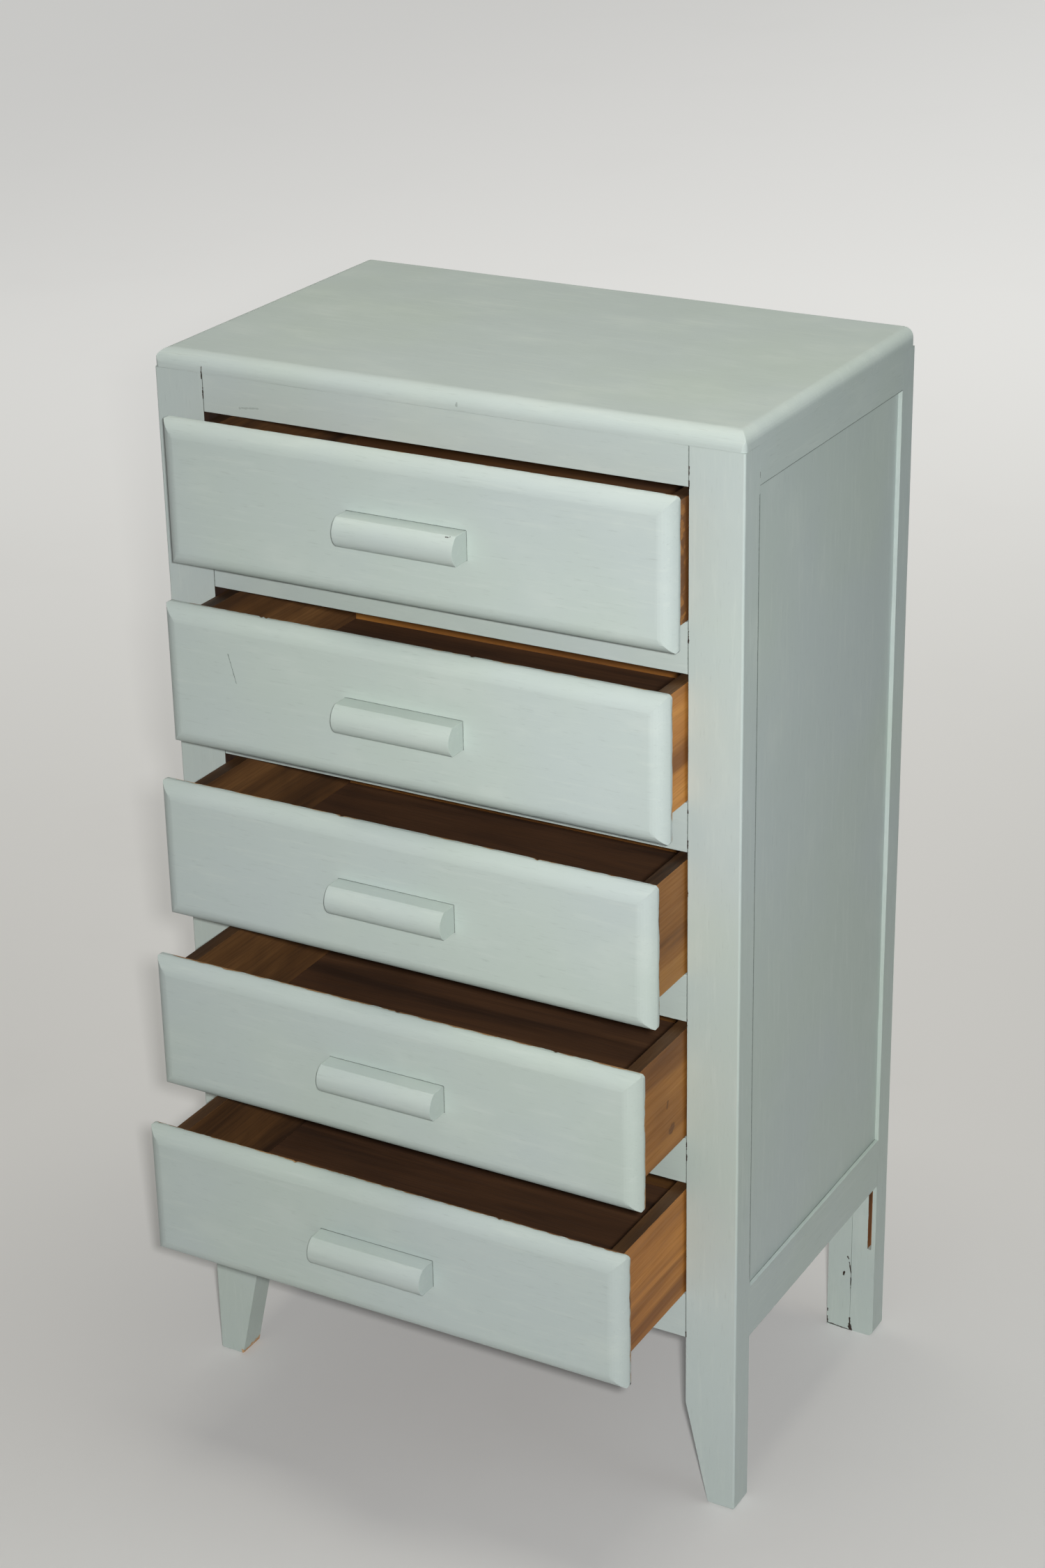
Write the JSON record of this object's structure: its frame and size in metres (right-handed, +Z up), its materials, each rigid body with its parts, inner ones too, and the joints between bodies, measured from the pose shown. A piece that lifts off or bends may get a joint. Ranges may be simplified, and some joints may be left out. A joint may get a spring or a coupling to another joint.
{
  "type": "dresser with drawers",
  "caption": "Tall narrow painted wooden dresser with framed panel sides, tapered front legs, lipped drawer fronts with bar handles, and drawers that slide out.",
  "frame": {"origin": "on the floor, at the centre of the rectangle that the four feet stand in", "axes": "+Z up; the drawers open towards -Y; +X is to the right of someone facing the drawers"},
  "size_m": [0.562, 0.5075, 1.02],
  "materials": {
    "painted_wood": "satin brushed paint, pale grey-green",
    "drawer_wood": "old varnished pine, orange-brown",
    "bare_wood": "unfinished, darkened with age",
    "plywood": "dark stained plywood",
    "steel": "dull, slightly tarnished"
  },
  "bodies": {
    "carcass": {"back_panel": "plywood", "back_panel_pins": "steel", "divider_rail_1": "painted_wood", "divider_rail_2": "painted_wood", "divider_rail_3": "painted_wood", "divider_rail_4": "painted_wood", "drawer_guides": "bare_wood", "frame_dowels": "bare_wood", "front_bottom_rail": "painted_wood", "front_left_post": "painted_wood", "front_right_post": "painted_wood", "front_top_rail": "painted_wood", "left_bottom_rail": "painted_wood", "left_drawer_runners": "bare_wood", "left_side_panel": "painted_wood", "left_top_rail": "painted_wood", "rear_bottom_rail": "bare_wood", "rear_left_post": "painted_wood", "rear_right_post": "painted_wood", "rear_top_rail": "bare_wood", "right_bottom_rail": "painted_wood", "right_drawer_runners": "bare_wood", "right_side_panel": "painted_wood", "right_top_rail": "painted_wood", "top_board": "painted_wood"},
    "drawer_1": {"drawer_1_back": "drawer_wood", "drawer_1_bottom": "plywood", "drawer_1_front": "painted_wood", "drawer_1_handle": "painted_wood", "drawer_1_handle_screws": "steel", "drawer_1_left_side": "drawer_wood", "drawer_1_right_side": "drawer_wood"},
    "drawer_2": {"drawer_2_back": "drawer_wood", "drawer_2_bottom": "plywood", "drawer_2_front": "painted_wood", "drawer_2_handle": "painted_wood", "drawer_2_handle_screws": "steel", "drawer_2_left_side": "drawer_wood", "drawer_2_right_side": "drawer_wood"},
    "drawer_3": {"drawer_3_back": "drawer_wood", "drawer_3_bottom": "plywood", "drawer_3_front": "painted_wood", "drawer_3_handle": "painted_wood", "drawer_3_handle_screws": "steel", "drawer_3_left_side": "drawer_wood", "drawer_3_right_side": "drawer_wood"},
    "drawer_4": {"drawer_4_back": "drawer_wood", "drawer_4_bottom": "plywood", "drawer_4_front": "painted_wood", "drawer_4_handle": "painted_wood", "drawer_4_handle_screws": "steel", "drawer_4_left_side": "drawer_wood", "drawer_4_right_side": "drawer_wood"},
    "drawer_5": {"drawer_5_back": "drawer_wood", "drawer_5_bottom": "plywood", "drawer_5_front": "painted_wood", "drawer_5_handle": "painted_wood", "drawer_5_handle_screws": "steel", "drawer_5_left_side": "drawer_wood", "drawer_5_right_side": "drawer_wood"}
  },
  "joints": [
    {"name": "drawer_1_slide", "type": "slide", "parent": "carcass", "child": "drawer_1", "axis": [0, -1, 0], "range_m": [-0.038, 0.177]},
    {"name": "drawer_2_slide", "type": "slide", "parent": "carcass", "child": "drawer_2", "axis": [0, -1, 0], "range_m": [-0.052, 0.163]},
    {"name": "drawer_3_slide", "type": "slide", "parent": "carcass", "child": "drawer_3", "axis": [0, -1, 0], "range_m": [-0.075, 0.14]},
    {"name": "drawer_4_slide", "type": "slide", "parent": "carcass", "child": "drawer_4", "axis": [0, -1, 0], "range_m": [-0.101, 0.114]},
    {"name": "drawer_5_slide", "type": "slide", "parent": "carcass", "child": "drawer_5", "axis": [0, -1, 0], "range_m": [-0.129, 0.086]}
  ]
}
